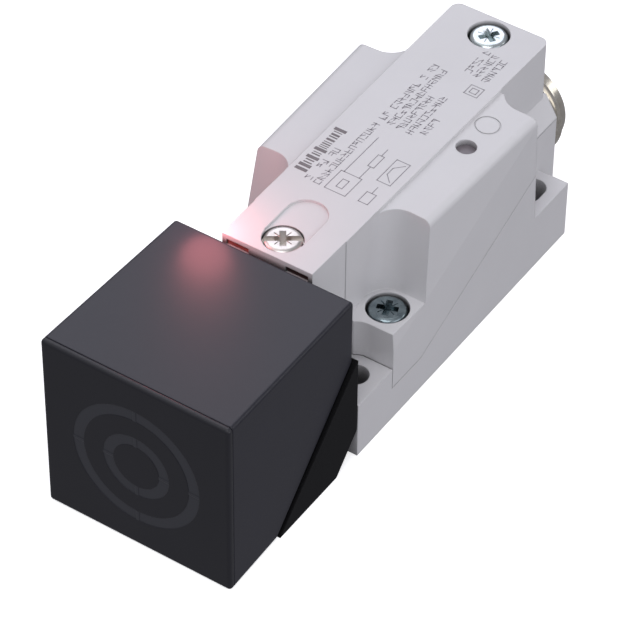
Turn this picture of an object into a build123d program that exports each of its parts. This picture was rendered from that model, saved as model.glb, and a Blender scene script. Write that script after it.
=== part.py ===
"""Block-style inductive proximity sensor: a turnable cube head on a grey limit-switch sized housing.

Frame: millimetres, +Z up, Z = 0 on the mounting face, X = 0 in the middle, Y = 0 midway between the two rows
of mounting holes. The sensing face looks along -Y and the plug connector leaves along +Y.
"""

import math
import os

from build123d import *

# ---- driving dimensions ------------------------------------------------------------------------------------
HEAD_SIDE = 40.0  # the head is a cube of this side
BODY_LENGTH = 120.0  # sensing face to the rear of the housing
HOLE_PITCH_X = 30.0  # mounting holes, across
HOLE_PITCH_Y = 60.0  # mounting holes, along
HOLE_R = 2.65
SLOT_TRAVEL = 2.0  # the rear holes are slots, this much longer than wide
FACE_TO_HOLE = 47.0  # sensing face to the front row of holes
PLATEAU_Z = 40.0  # top of the housing's middle strip
FLANGE_Z = 13.0  # top of the mounting flange
LEDGE_Z = 21.4  # ledge that the side screws sit in
CONNECTOR_R = 11.11  # 7/8 inch thread, major radius
CONNECTOR_Z = 14.2  # height of the connector's axis
THREAD_PITCH = 1.5875  # 16 threads per inch
RUNNING = 0.05  # radial clearance of the turning and sliding fits
SEAM = 0.14  # visible joint between base and cover

# ---- places along Y ----------------------------------------------------------------------------------------
SENSING_Y = -HOLE_PITCH_Y / 2 - FACE_TO_HOLE
HEAD_MID_Y = SENSING_Y + HEAD_SIDE / 2
HEAD_REAR_Y = SENSING_Y + HEAD_SIDE - 0.5
WEDGE_REAR_Y = SENSING_Y + HEAD_SIDE + 0.2
FRONT_Y = SENSING_Y + HEAD_SIDE + 0.5  # front of the housing
LEG_Y = FRONT_Y + 11.5  # front of the side walls
STEP_Y = LEG_Y + 10.0  # where the parting line starts to climb
BODY_REAR_Y = FRONT_Y + 61.1  # rear of the full-width part
TAIL_REAR_Y = SENSING_Y + BODY_LENGTH
TAIL_BLOCK_Y = TAIL_REAR_Y - 10.0  # front of the solid block at the rear
FLANGE_REAR_Y = TAIL_REAR_Y - 6.0
NECK_Y = TAIL_REAR_Y - 8.0  # where the flared neck behind the rear holes starts
LOCK_SCREW_Y = FRONT_Y + 5.0
SIDE_SCREW_Y = LEG_Y + 5.5
REAR_SCREW_Y = TAIL_REAR_Y - 5.0
INDICATOR_X = 13.3
INDICATOR_Y = BODY_REAR_Y - 15.7
BLANK_Y = INDICATOR_Y + 7.4  # closed place for a second indicator

# ---- housing sections --------------------------------------------------------------------------------------
HALF_WIDTH = HEAD_SIDE / 2
AXIS_Z = HEAD_SIDE / 2
SPINE_FRONT_X = 9.75  # half width of the middle strip at the front
SPINE_REAR_X = 10.6  # and at the rear
SPINE_CORNER_R = 1.8
POCKET_X = 10.0  # inner side of the front pockets
POCKET_R = 4.8  # concave corner beside each screw and hole
POCKET_LEAN = 0.15  # the front pocket's rear wall leans back, in mm per mm of height
REAR_LEAN = -0.055
NECK_X = 13.2
NECK_TOP_Z = 26.8
NECK_SIDE_Z = 22.2
SHOULDER_INNER_Z = 39.6  # the shoulders' slope, at X = 0
SHOULDER_OUTER_Z = 38.8  # and 1 mm outside the side walls
SHOULDER_R = 1.6
CREASE_Z = 35.7  # where the side walls' crease ends at the rear
SIDE_DRAFT = 1.25  # how far the side walls lean in at the shoulder
LEG_FOOT_Z = 8.1
PARTING_STEP_Z = 8.6
PARTING_REAR_Z = 24.8
PARTING_NECK_Z = 21.9
ARCH_X = 9.9  # the base's rear wall rises inside this half width to carry the rear screw
ARCH_Z = 29.0
GROOVE_R = 4.1  # finger groove behind the lock screw
GROOVE_LENGTH = 7.4
GROOVE_T = 0.5
INDICATOR_R = 2.0

# ---- hollow of the housing ---------------------------------------------------------------------------------
FLOOR = 2.6
CAVITY_X = 16.9
CAVITY_TOP_Z = 37.5
SPINE_CAVITY_X = 7.5
TAIL_CAVITY_X = 8.2
CAVITY_FRONT_Y = LEG_Y + 1.4
CAVITY_MID_Y = STEP_Y + 3.4
CAVITY_BACK_Y = BODY_REAR_Y - 2.9

# ---- head and wedge ----------------------------------------------------------------------------------------
CAP_T = 1.1
CAP_SEAM = 0.12
CAP_RIM = 3.0  # how far the cap's rim reaches into the shell
HEAD_WALL = 2.2
HEAD_DRAFT_DEG = 1.05
EDGE_R = 0.7
RING_DEPTH = 0.08  # target rings on the sensing face
SPLIT = 14.9  # the 45 degree split is where (distance behind the sensing face) - z equals this
SPLIT_GAP = 0.9
HEAD_SPLIT = SPLIT - SPLIT_GAP * math.sqrt(0.5)
WEDGE_SPLIT = SPLIT + SPLIT_GAP * math.sqrt(0.5)
INNER_SPLIT = HEAD_SPLIT - HEAD_WALL * math.sqrt(2)
WEDGE_TOP_Z = HEAD_SIDE - 15.4
WEDGE_CHAMFER_Y = 6.5
WEDGE_CHAMFER_Z = 7.0
SPINDLE_R = 6.0
SPINDLE_BORE_R = 3.5
SPINDLE_DEPTH = 10.0
NECK_R = 5.0
NECK_END_Y = CAVITY_FRONT_Y - 0.6
NECK_RING_Y = FRONT_Y + 1.6
GROOVE_DEPTH = 1.2  # locking groove round the turning neck
CORE_R = 16.6
CORE_FRONT_Y = SENSING_Y + 2.2
CORE_T = 9.4
POST_R = 6.6
HEAD_BOARD_Y = CORE_FRONT_Y + CORE_T + 1.6

# ---- screws ------------------------------------------------------------------------------------------------
M4_R = 2.0
M4_CLEAR_R = M4_R + 0.15
SCREW_HEAD_R = 3.8
SCREW_HEAD_T = 2.7
SCREW_HOLE_R = 4.15
LOCK_HOLE_R = 3.9
RECESS_R = 2.1  # cross recess
RECESS_DEPTH = 1.9
INSERT_R = 2.9
INSERT_T = 4.6
LOCK_SEAT_Z = PLATEAU_Z - 2.85
SIDE_SEAT_Z = LEDGE_Z - 2.7
REAR_SEAT_Z = PLATEAU_Z - 2.85

# ---- connector ---------------------------------------------------------------------------------------------
CONNECTOR_END_Y = TAIL_REAR_Y + 9.0
THREAD_DEPTH = 0.85
STUB_R = 9.0  # plain end that sits in the base
STUB_END_Y = TAIL_BLOCK_Y
SHELL_BORE_R = 8.2
SHELL_WALL = 1.4
INSERT_FACE_Y = CONNECTOR_END_Y - 7.0
PIN_R = 1.2
PIN_CIRCLE_R = 4.6

# ---- electronics -------------------------------------------------------------------------------------------
GUIDE_X0 = 4.0  # light guides under the plateau
GUIDE_X1 = 8.8
GUIDE_Z0 = 37.75
GUIDE_Z1 = 38.95
GUIDE_LEG_Y = CAVITY_FRONT_Y + 1.0
GUIDE_T = 2.0
GUIDE_PLAY = 0.1
BOARD_Z = 30.0
BOARD_T = 1.6
BOARD_TOP_Z = BOARD_Z + BOARD_T
BOARD_Y0 = CAVITY_MID_Y + 0.6
BOARD_Y1 = CAVITY_BACK_Y - 0.6
BOARD_X = CAVITY_X - 0.5
BOARD_NOSE_X = 7.1
POST_X = 12.5
STAKE_R = 0.9
PAIR_X = (-POST_X, POST_X)
PAIR_Y = (BOARD_Y0 + 3, BOARD_Y1 - 3)
HEAD_LEAD_X = (-2.5, 0.0, 2.5)
TRANSISTOR_X = (-13.5, -3.5)
TRANSISTOR_Y = BOARD_Y0 + 20

DIAGONAL = Vector(0, -1, 1).normalized()  # draws the head away from the wedge


def block(xs, ys, zs):
    """Box between two values on each axis."""
    corner = Pos(xs[0], ys[0], zs[0])
    return corner * Box(xs[1] - xs[0], ys[1] - ys[0], zs[1] - zs[0], align=(Align.MIN,) * 3)


def both_sides(shape):
    """The shape and its mirror image across X = 0."""
    return shape + mirror(shape, about=Plane.YZ)


def prism_x(points, half):
    """Outline of (y, z) points, extruded to +-half along X."""
    face = Plane.YZ * Polygon(*points, align=None)
    return extrude(face, amount=half, both=True)


def prism_y(points, y0, y1):
    """Outline of (x, z) points, extruded from y0 to y1."""
    plane = Plane(origin=(0, y0, 0), x_dir=(1, 0, 0), z_dir=(0, -1, 0))
    return extrude(plane * Polygon(*points, align=None), amount=y0 - y1)


def rod_y(x, z, r, y0, y1):
    """Cylinder along Y."""
    return Pos(x, y0, z) * Rot(-90, 0, 0) * Cylinder(r, y1 - y0, align=(Align.CENTER, Align.CENTER, Align.MIN))


def rod_z(x, y, r, z0, z1):
    """Cylinder along Z."""
    return Pos(x, y, z0) * Cylinder(r, z1 - z0, align=(Align.CENTER, Align.CENTER, Align.MIN))


def diagonal_plane(split):
    """Plane across the head's 45 degree axis at a given split value, its Z along DIAGONAL."""
    along = split / 2
    return Plane(origin=(0, HEAD_MID_Y + along, AXIS_Z - along), x_dir=(1, 0, 0), z_dir=DIAGONAL)


def rod_diagonal(split, r, start, end):
    """Cylinder on the 45 degree axis, from start to end, measured along DIAGONAL from the split plane."""
    rod = Cylinder(r, end - start, align=(Align.CENTER, Align.CENTER, Align.MIN))
    return diagonal_plane(split) * Pos(0, 0, start) * rod


def half_space(split, side):
    """Everything on one side of a 45 degree plane: side is 1 for the head's side, -1 for the wedge's."""
    reach = 4 * HEAD_SIDE
    return diagonal_plane(split) * Pos(0, 0, side * reach / 2) * Box(reach, reach, reach)


def torus_on(plane, major, minor):
    """O-ring on a plane."""
    return plane * Torus(major, minor)


# ---- housing -----------------------------------------------------------------------------------------------
def spine(bottom, top, grow=0.0):
    """The middle strip of the housing, slightly wider at the rear, with rounded rear corners."""
    points = [
        (-SPINE_FRONT_X - grow, FRONT_Y),
        (SPINE_FRONT_X + grow, FRONT_Y),
        (SPINE_REAR_X + grow, TAIL_REAR_Y),
        (-SPINE_REAR_X - grow, TAIL_REAR_Y),
    ]
    outline = Polygon(*points, align=None)
    rear = outline.vertices().sort_by(Axis.Y)[-2:]
    return extrude(Pos(0, 0, bottom) * fillet(rear, SPINE_CORNER_R), amount=top - bottom)


def pocket(x, y0, y1, z, height, lean, rounded):
    """Open-sided pocket cutter with concave corners; its walls lean along Y by lean per mm of height."""
    width = HALF_WIDTH + 6 - x
    outline = Pos(x + width / 2, (y0 + y1) / 2) * Rectangle(width, y1 - y0)
    inner = outline.vertices().sort_by(Axis.X)[:2].sort_by(Axis.Y)
    outline = fillet([inner[i] for i in rounded], POCKET_R)
    way = Vector(0, lean, 1)
    return extrude(Pos(0, 0, z) * outline, amount=height * way.length, dir=way)


def side_lean():
    """Cutter for the upper side wall, which leans inwards above a crease that climbs to the rear."""
    low = Vector(HALF_WIDTH, STEP_Y, LEDGE_Z)
    high = Vector(HALF_WIDTH, BODY_REAR_Y - 5.0, CREASE_Z)
    inward = Vector(HALF_WIDTH - SIDE_DRAFT, STEP_Y, SHOULDER_OUTER_Z)
    normal = (high - low).cross(inward - low)
    plane = Plane(origin=low, x_dir=high - low, z_dir=normal)
    return plane * Box(300, 300, 20, align=(Align.CENTER, Align.CENTER, Align.MIN))


def above_shoulder(depth, y0, y1):
    """Everything above the right shoulder's slope, or above the same slope sunk by depth."""
    edge = HALF_WIDTH + 1
    inner = SHOULDER_INNER_Z - depth
    outer = SHOULDER_OUTER_Z - depth
    return prism_y([(0, inner), (edge, outer), (edge, PLATEAU_Z + 5), (0, PLATEAU_Z + 5)], y0, y1)


def shoulder_slope():
    """Cutter that drops the shoulders below the plateau and slopes them outwards."""
    return above_shoulder(0.0, LEG_Y - 2, BODY_REAR_Y + 2) - spine(30, 50, grow=0.1)


def housing_outline():
    """The housing's outer shape, base and cover together."""
    flange = block((-HALF_WIDTH, HALF_WIDTH), (FRONT_Y, FLANGE_REAR_Y), (0, FLANGE_Z))
    body = block((-HALF_WIDTH, HALF_WIDTH), (LEG_Y - 1, BODY_REAR_Y + 1), (0, PLATEAU_Z))
    neck_points = [
        (-NECK_X, 0),
        (NECK_X, 0),
        (NECK_X, NECK_SIDE_Z),
        (SPINE_REAR_X - 0.1, NECK_TOP_Z),
        (-SPINE_REAR_X + 0.1, NECK_TOP_Z),
        (-NECK_X, NECK_SIDE_Z),
    ]
    shape = flange + body + spine(0, PLATEAU_Z) + prism_y(neck_points, NECK_Y, TAIL_REAR_Y)
    cutters = [
        pocket(POCKET_X, FRONT_Y - 9, LEG_Y, FLANGE_Z, LEDGE_Z - FLANGE_Z + 1, 0.0, [1]),
        pocket(POCKET_X, FRONT_Y - 9, STEP_Y + 0.4, LEDGE_Z, PLATEAU_Z - LEDGE_Z + 2, POCKET_LEAN, [1]),
        pocket(SPINE_REAR_X, BODY_REAR_Y, NECK_Y, FLANGE_Z, PLATEAU_Z - FLANGE_Z + 2, REAR_LEAN, [0]),
        side_lean(),
        shoulder_slope(),
    ]
    for cutter in cutters:
        shape -= cutter
        shape -= mirror(cutter, about=Plane.YZ)
    return shape


def soften(shape):
    """Moulded roundings along the outer edges of the shoulders."""
    def outer_shoulder(edge):
        mid = edge @ 0.5
        return abs(mid.X) > 17.5 and mid.Z > 37.5 and edge.length > 20

    shoulders = [e for e in shape.edges() if outer_shoulder(e)]
    return fillet(shoulders, SHOULDER_R)


def below_parting(gap):
    """Everything under the joint between base and cover, lowered by the seam's gap."""
    far = 60
    points = [
        (-far, -1),
        (-far, FLANGE_Z - gap),
        (LEG_Y - gap, FLANGE_Z - gap),
        (LEG_Y - gap, LEG_FOOT_Z - gap),
        (STEP_Y, LEG_FOOT_Z - gap),
        (STEP_Y + 0.8, PARTING_STEP_Z - gap),
        (BODY_REAR_Y, PARTING_REAR_Z - gap),
        (BODY_REAR_Y, PARTING_NECK_Z - gap),
        (far, PARTING_NECK_Z - gap),
        (far, -1),
    ]
    arch = block((-ARCH_X + gap, ARCH_X - gap), (TAIL_BLOCK_Y - 0.1, far), (0, ARCH_Z - gap))
    return prism_x(points, far) + arch


def housing_cavity(inset=0.0):
    """The hollow inside base and cover, or the same shape drawn in by inset on its upright walls."""
    high = (FLOOR, CAVITY_TOP_Z)
    main_x = CAVITY_X - inset
    front_x = SPINE_CAVITY_X - inset
    rear_x = TAIL_CAVITY_X - inset
    main = block((-main_x, main_x), (CAVITY_MID_Y + inset, CAVITY_BACK_Y - inset), high)
    front = block((-front_x, front_x), (CAVITY_FRONT_Y + inset, CAVITY_MID_Y + inset + 1), high)
    rear = block((-rear_x, rear_x), (CAVITY_BACK_Y - inset - 1, TAIL_BLOCK_Y - inset), high)
    return main + front + rear


def mounting_holes():
    """The through holes of the mounting flange: a round pair in front and a pair of slots behind."""
    x = HOLE_PITCH_X / 2
    front = rod_z(x, -HOLE_PITCH_Y / 2, HOLE_R, -1, FLANGE_Z + 1)
    slot = SlotCenterToCenter(SLOT_TRAVEL, 2 * HOLE_R, rotation=90)
    rear = extrude(Pos(x, (HOLE_PITCH_Y + SLOT_TRAVEL) / 2, -1) * slot, amount=FLANGE_Z + 2)
    return both_sides(front + rear)


def neck_bore():
    """Bore that the head's turning neck runs in."""
    return rod_y(0, AXIS_Z, NECK_R + RUNNING, FRONT_Y - 1, CAVITY_FRONT_Y + 1)


def make_base(outline):
    """Lower half of the housing, with the mounting flange and the rear wall that holds the connector."""
    shape = outline & below_parting(SEAM)
    shape -= housing_cavity()
    shape -= mounting_holes()
    shape -= rod_y(0, CONNECTOR_Z, STUB_R, TAIL_BLOCK_Y - 1, TAIL_REAR_Y + 1)
    shape -= both_sides(rod_z(HOLE_PITCH_X / 2, SIDE_SCREW_Y, INSERT_R, 1.2, LEG_FOOT_Z + 1))
    shape -= rod_z(0, REAR_SCREW_Y, INSERT_R, ARCH_Z - INSERT_T, ARCH_Z + 1)
    return shape


def make_cover(outline):
    """Upper half of the housing, with the plateau, the shoulders and the nose that carries the head."""
    shape = outline - below_parting(0.0)
    shape -= housing_cavity()
    shape -= neck_bore()
    shape -= rod_z(0, LOCK_SCREW_Y, M4_CLEAR_R, AXIS_Z, PLATEAU_Z)
    shape -= rod_z(0, LOCK_SCREW_Y, LOCK_HOLE_R, LOCK_SEAT_Z, PLATEAU_Z + 1)
    shape -= both_sides(rod_z(HOLE_PITCH_X / 2, SIDE_SCREW_Y, SCREW_HOLE_R, SIDE_SEAT_Z, LEDGE_Z + 1))
    shape -= both_sides(rod_z(HOLE_PITCH_X / 2, SIDE_SCREW_Y, M4_CLEAR_R, 0, LEDGE_Z))
    shape -= rod_z(0, REAR_SCREW_Y, SCREW_HOLE_R, REAR_SEAT_Z, PLATEAU_Z + 1)
    shape -= rod_z(0, REAR_SCREW_Y, M4_CLEAR_R, ARCH_Z - 1, PLATEAU_Z)
    shape -= both_sides(light_channel())
    shape -= finger_groove()
    shape -= rod_z(INDICATOR_X, INDICATOR_Y, INDICATOR_R, CAVITY_TOP_Z - 1, PLATEAU_Z + 1)
    shape -= blank_ring()
    shape += board_posts()
    return shape


def light_channel():
    """Slot for one light guide, from the front window back to the hollow."""
    back = GUIDE_LEG_Y + GUIDE_T + 0.4
    run = block((GUIDE_X0, GUIDE_X1), (FRONT_Y - 1, back), (GUIDE_Z0, GUIDE_Z1))
    return run + block((GUIDE_X0, GUIDE_X1), (GUIDE_LEG_Y, back), (BOARD_Z, GUIDE_Z1))


def finger_groove():
    """Shallow U-shaped recess in the plateau, running back from the lock screw."""
    high = (PLATEAU_Z - GROOVE_T, PLATEAU_Z + 1)
    end_y = LOCK_SCREW_Y + GROOVE_LENGTH
    return block((-GROOVE_R, GROOVE_R), (LOCK_SCREW_Y, end_y), high) + rod_z(0, end_y, GROOVE_R, *high)


def blank_ring():
    """Fine groove moulded round the closed second indicator place."""
    ring = rod_z(INDICATOR_X, BLANK_Y, 2.5, FLANGE_Z, PLATEAU_Z)
    ring -= rod_z(INDICATOR_X, BLANK_Y, 2.25, 0, PLATEAU_Z + 1)
    return ring & above_shoulder(0.14, BLANK_Y - 4, BLANK_Y + 4)


def board_posts():
    """Four posts under the cover's roof that the board is staked to."""
    shape = Part()
    for x in PAIR_X:
        for y in PAIR_Y:
            shape += rod_z(x, y, 2.2, BOARD_TOP_Z, CAVITY_TOP_Z + 0.5)
            shape += rod_z(x, y, STAKE_R, BOARD_Z - 0.6, BOARD_TOP_Z)
    return shape


# ---- screws and inserts ------------------------------------------------------------------------------------
def cross_recess(top_z):
    """Cross recess: two tapering blades and four fine ticks between them."""
    rim = top_z + 0.1
    foot = 0.55 * RECESS_R
    points = [(-RECESS_R, rim), (RECESS_R, rim), (foot, top_z - RECESS_DEPTH), (-foot, top_z - RECESS_DEPTH)]
    blade = extrude(Plane.XZ * Polygon(*points, align=None), amount=0.62, both=True)
    tick = Pos(0, 0, rim) * Box(2.1 * RECESS_R, 0.22, 0.3, align=(Align.CENTER, Align.CENTER, Align.MAX))
    shape = Part()
    for turn in (0, 90):
        shape += Rot(0, 0, turn) * blade
        shape += Rot(0, 0, turn + 45) * tick
    return shape


def pan_screw(seat_z, length, turn, slotted=False):
    """M4 pan head screw standing on its seat, drawn at X = Y = 0."""
    top = seat_z + SCREW_HEAD_T
    head = rod_z(0, 0, SCREW_HEAD_R, seat_z, top)
    rim = [e for e in head.edges() if abs((e @ 0).Z - top) < 1e-6]
    head = fillet(rim, 1.1)
    head -= cross_recess(top)
    if slotted:
        head -= block((-5, 5), (-0.65, 0.65), (top - 1.2, top + 1))
    shank = rod_z(0, 0, M4_R, seat_z - length, seat_z)
    return Rot(0, 0, turn) * (head + shank)


def make_side_screws():
    """Two screws that hold the cover's legs to the base."""
    screw = pan_screw(SIDE_SEAT_Z, 15.0, 20)
    right = Pos(HOLE_PITCH_X / 2, SIDE_SCREW_Y, 0) * screw
    left = Pos(-HOLE_PITCH_X / 2, SIDE_SCREW_Y, 0) * Rot(0, 0, 50) * screw
    return right + left


def make_rear_screw():
    """Screw that holds the cover's tail to the base."""
    return Pos(0, REAR_SCREW_Y, 0) * pan_screw(REAR_SEAT_Z, 12.0, 55)


def make_lock_screw():
    """Combination-slot screw whose plain tip locks the turning neck in its groove."""
    tip_z = AXIS_Z + NECK_R - GROOVE_DEPTH + 0.2
    screw = pan_screw(LOCK_SEAT_Z, LOCK_SEAT_Z - tip_z - 1.4, 35, slotted=True)
    screw += rod_z(0, 0, 1.5, tip_z, tip_z + 1.6)
    return Pos(0, LOCK_SCREW_Y, 0) * screw


def threaded_insert(r, z0, z1):
    """Brass insert with a blind M4 hole, drawn at X = Y = 0."""
    shape = rod_z(0, 0, r, z0, z1) - rod_z(0, 0, r + 1, (z0 + z1) / 2 - 0.4, (z0 + z1) / 2 + 0.4)
    shape += rod_z(0, 0, r - 0.3, z0, z1)
    return shape - rod_z(0, 0, M4_R, z0 + 0.6, z1 + 1)


def make_side_inserts():
    """Two brass inserts in the base under the side screws."""
    insert = threaded_insert(INSERT_R, 1.2, LEG_FOOT_Z - SEAM - 0.1)
    right = Pos(HOLE_PITCH_X / 2, SIDE_SCREW_Y, 0) * insert
    return right + mirror(right, about=Plane.YZ)


def make_rear_insert():
    """Brass insert in the base's rear arch."""
    return Pos(0, REAR_SCREW_Y, 0) * threaded_insert(INSERT_R, ARCH_Z - INSERT_T, ARCH_Z - SEAM - 0.1)


# ---- connector pieces --------------------------------------------------------------------------------------
def thread_profile(y0, y1, crest, root, pitch):
    """Points of a ridged outline (y, r) from y0 to y1."""
    count = int((y1 - y0) / pitch)
    points = []
    for i in range(count):
        start = y0 + i * pitch
        points += [(start, root), (start + 0.38 * pitch, crest), (start + 0.52 * pitch, crest)]
        points += [(start + 0.9 * pitch, root)]
    return points


def make_connector_shell():
    """Nickel-plated brass receptacle: threaded outside, screwed into the base by its stub."""
    root = CONNECTOR_R - THREAD_DEPTH
    ridges = thread_profile(TAIL_REAR_Y + 0.9, CONNECTOR_END_Y - 0.5, CONNECTOR_R, root, THREAD_PITCH)
    points = [(STUB_END_Y, 0), (STUB_END_Y, STUB_R), (TAIL_REAR_Y, STUB_R), (TAIL_REAR_Y, root)]
    points += ridges
    points += [(CONNECTOR_END_Y, root), (CONNECTOR_END_Y, 0)]
    face = Plane.YX * Polygon(*points, align=None)
    solid = revolve(face, axis=Axis.Y)
    solid = Pos(0, 0, CONNECTOR_Z) * solid
    solid -= rod_y(0, CONNECTOR_Z, SHELL_BORE_R, INSERT_FACE_Y - 1.2, CONNECTOR_END_Y + 1)
    solid -= rod_y(0, CONNECTOR_Z, SHELL_BORE_R - SHELL_WALL, STUB_END_Y - 1, CONNECTOR_END_Y)
    solid -= o_ring_groove_y(CONNECTOR_Z, TAIL_REAR_Y - 1.6, STUB_R - 1.2, STUB_R + 1, 1.6)
    return solid


def o_ring_groove_y(z, y0, r_in, r_out, width):
    """Annular cutter round the Y axis."""
    return rod_y(0, z, r_out, y0, y0 + width) - rod_y(0, z, r_in, y0 - 1, y0 + width + 1)


def make_connector_insert():
    """Moulded pin carrier inside the shell."""
    body = rod_y(0, CONNECTOR_Z, SHELL_BORE_R, INSERT_FACE_Y - 1.2, INSERT_FACE_Y)
    body += rod_y(0, CONNECTOR_Z, SHELL_BORE_R - SHELL_WALL, STUB_END_Y, INSERT_FACE_Y - 1.2)
    key = block((-1.2, 1.2), (INSERT_FACE_Y, CONNECTOR_END_Y - 1.5), (CONNECTOR_Z + 6.6, CONNECTOR_Z + 8.0))
    body += key & rod_y(0, CONNECTOR_Z, SHELL_BORE_R, INSERT_FACE_Y - 1, CONNECTOR_END_Y)
    for x, z in pin_places():
        body -= rod_y(x, z, PIN_R, STUB_END_Y - 1, INSERT_FACE_Y + 1)
    return body


def pin_places():
    """Centres of the three pins, as (x, z)."""
    places = []
    for angle in (30, 150, 270):
        turn = math.radians(angle)
        places.append((PIN_CIRCLE_R * math.cos(turn), CONNECTOR_Z + PIN_CIRCLE_R * math.sin(turn)))
    return places


def make_connector_pins():
    """Three contact pins with rounded tips."""
    shape = Part()
    for x, z in pin_places():
        pin = rod_y(x, z, PIN_R, STUB_END_Y - 2.5, CONNECTOR_END_Y - 1.4)
        tip = [e for e in pin.edges() if (e @ 0).Y > CONNECTOR_END_Y - 2 and e.geom_type == GeomType.CIRCLE]
        pin = fillet(tip, 0.8)
        shape += pin
    return shape


def make_connector_o_ring():
    """Seal between the shell and the base's rear wall."""
    plane = Plane(origin=(0, TAIL_REAR_Y - 0.8, CONNECTOR_Z), x_dir=(1, 0, 0), z_dir=(0, 1, 0))
    return torus_on(plane, STUB_R - 0.6, 0.58)


def lead(points, r, bend):
    """Insulated wire along straight runs with rounded corners."""
    path = FilletPolyline(*points, radius=bend)
    start = Plane(origin=path @ 0, z_dir=path % 0)
    return sweep(start * Circle(r), path=path)


def make_connector_leads():
    """Three wires from the pins up to the board."""
    shape = Part()
    for (x, z), top_x in zip(pin_places(), (5.0, -5.0, 0.0)):
        y_rise = TAIL_BLOCK_Y - 6.5 - abs(z - CONNECTOR_Z) * 0.4
        points = [
            (x, STUB_END_Y - 2.5, z),
            (x, y_rise, z),
            (top_x, y_rise - 3.0, 26.0),
            (top_x, y_rise - 7.0, 26.5),
        ]
        shape += lead(points, 0.75, 1.6)
    return shape


# ---- electronics in the housing ----------------------------------------------------------------------------
def make_cover_gasket():
    """Soft seal that follows the joint round the inside of the base's rim."""
    ring = housing_cavity(0.05) - housing_cavity(1.3)
    return ring & (below_parting(-1.4) - below_parting(1.2))


def make_main_board():
    """Circuit board staked under the cover's roof."""
    thick = (BOARD_Z, BOARD_TOP_Z)
    board = block((-BOARD_X, BOARD_X), (BOARD_Y0, BOARD_Y1), thick)
    board += block((-BOARD_NOSE_X, BOARD_NOSE_X), (GUIDE_LEG_Y - 0.6, BOARD_Y0 + 1), thick)
    for x in PAIR_X:
        for y in PAIR_Y:
            board -= rod_z(x, y, STAKE_R, BOARD_Z - 1, BOARD_TOP_Z + 1)
    return board


def make_light_guide(side):
    """Clear guide from a front window back and down to its LED."""
    x0 = GUIDE_X0 + GUIDE_PLAY
    top = GUIDE_Z1 - GUIDE_PLAY
    back = GUIDE_LEG_Y + 0.2 + GUIDE_T
    run = block((x0, GUIDE_X1 - GUIDE_PLAY), (FRONT_Y + 0.25, back), (GUIDE_Z0 + GUIDE_PLAY, top))
    leg = block((x0, SPINE_CAVITY_X - 0.5), (back - GUIDE_T, back), (BOARD_TOP_Z + 1.4, top))
    guide = run + leg
    return guide if side > 0 else mirror(guide, about=Plane.YZ)


def make_status_led(side):
    """Surface-mount LED under a light guide."""
    x = (GUIDE_X0 + SPINE_CAVITY_X) / 2
    y = GUIDE_LEG_Y + 1.2
    z = BOARD_TOP_Z
    body = block((x - 1.0, x + 1.0), (y - 0.6, y + 0.6), (z, z + 0.6))
    body += rod_z(x, y, 0.5, z + 0.5, z + 1.1)
    return body if side > 0 else mirror(body, about=Plane.YZ)


def make_indicator_window():
    """Translucent plug at the foot of the round indicator hole."""
    plug = rod_z(INDICATOR_X, INDICATOR_Y, INDICATOR_R - 0.05, CAVITY_TOP_Z - 1.0, CAVITY_TOP_Z + 0.4)
    return plug + rod_z(INDICATOR_X, INDICATOR_Y, 2.8, CAVITY_TOP_Z - 1.0, CAVITY_TOP_Z - 0.02)


def make_indicator_led():
    """LED on the board below the indicator window."""
    z = BOARD_TOP_Z
    body = rod_z(INDICATOR_X, INDICATOR_Y, 1.7, z, z + 1.0)
    body += rod_z(INDICATOR_X, INDICATOR_Y, 1.5, z + 0.9, z + 3.2)
    return body


def make_suppression_choke():
    """Suppression choke: a wound drum with two end flanges."""
    y = BOARD_Y0 + 8.2
    z = BOARD_Z
    drum = rod_z(-8.5, y, 4.0, z - 8.0, z - 1.0) + rod_z(-8.5, y, 4.4, z - 1.0, z)
    return drum + rod_z(-8.5, y, 4.4, z - 9.0, z - 8.0)


def make_capacitors():
    """Two round electrolytic capacitors under the board."""
    shape = Part()
    for x in (3.6, 11.4):
        can = rod_z(x, BOARD_Y0 + 8.6, 3.6, BOARD_Z - 11.0, BOARD_Z)
        can = fillet([e for e in can.edges() if (e @ 0).Z < BOARD_Z - 5 and e.geom_type == GeomType.CIRCLE], 0.6)
        shape += can
    return shape


def make_output_transistor():
    """Output transistor lying under the board on its metal tab."""
    y = TRANSISTOR_Y
    body = block(TRANSISTOR_X, (y - 4.5, y + 4.0), (BOARD_Z - 5.9, BOARD_Z - 1.5))
    for x in (-11.0, -8.5, -6.0):
        body += block((x - 0.4, x + 0.4), (y - 7.0, y - 4.4), (BOARD_Z - 3.5, BOARD_Z - 2.9))
        body += block((x - 0.4, x + 0.4), (y - 7.0, y - 6.4), (BOARD_Z - 3.5, BOARD_Z))
    return body


def make_transistor_tab():
    """Metal cooling tab of the output transistor, against the board."""
    y = TRANSISTOR_Y
    tab = block(TRANSISTOR_X, (y - 4.5, y + 7.5), (BOARD_Z - 1.5, BOARD_Z))
    return tab - rod_z(sum(TRANSISTOR_X) / 2, y + 5.7, 1.6, 0, BOARD_TOP_Z)


def make_control_chip():
    """Control circuit in a flat package with gull-wing legs, on top of the board."""
    z = BOARD_TOP_Z
    x, y = -4.0, BOARD_Y0 + 16
    body = block((x - 2.0, x + 2.0), (y - 5.0, y + 5.0), (z + 0.15, z + 1.65))
    for i in range(8):
        place = y - 4.45 + i * 1.27
        body += block((x - 3.1, x + 3.1), (place - 0.2, place + 0.2), (z + 0.6, z + 0.8))
        for side in (-1, 1):
            foot = sorted((x + side * 2.9, x + side * 3.1))
            body += block(foot, (place - 0.2, place + 0.2), (z, z + 0.8))
    return body


def make_chip_resistors():
    """Row of small resistors on top of the board."""
    z = BOARD_TOP_Z
    shape = Part()
    for i in range(6):
        y = BOARD_Y0 + 9 + i * 3.0
        shape += block((3.0, 6.2), (y - 0.8, y + 0.8), (z, z + 0.55))
    return shape


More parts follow.
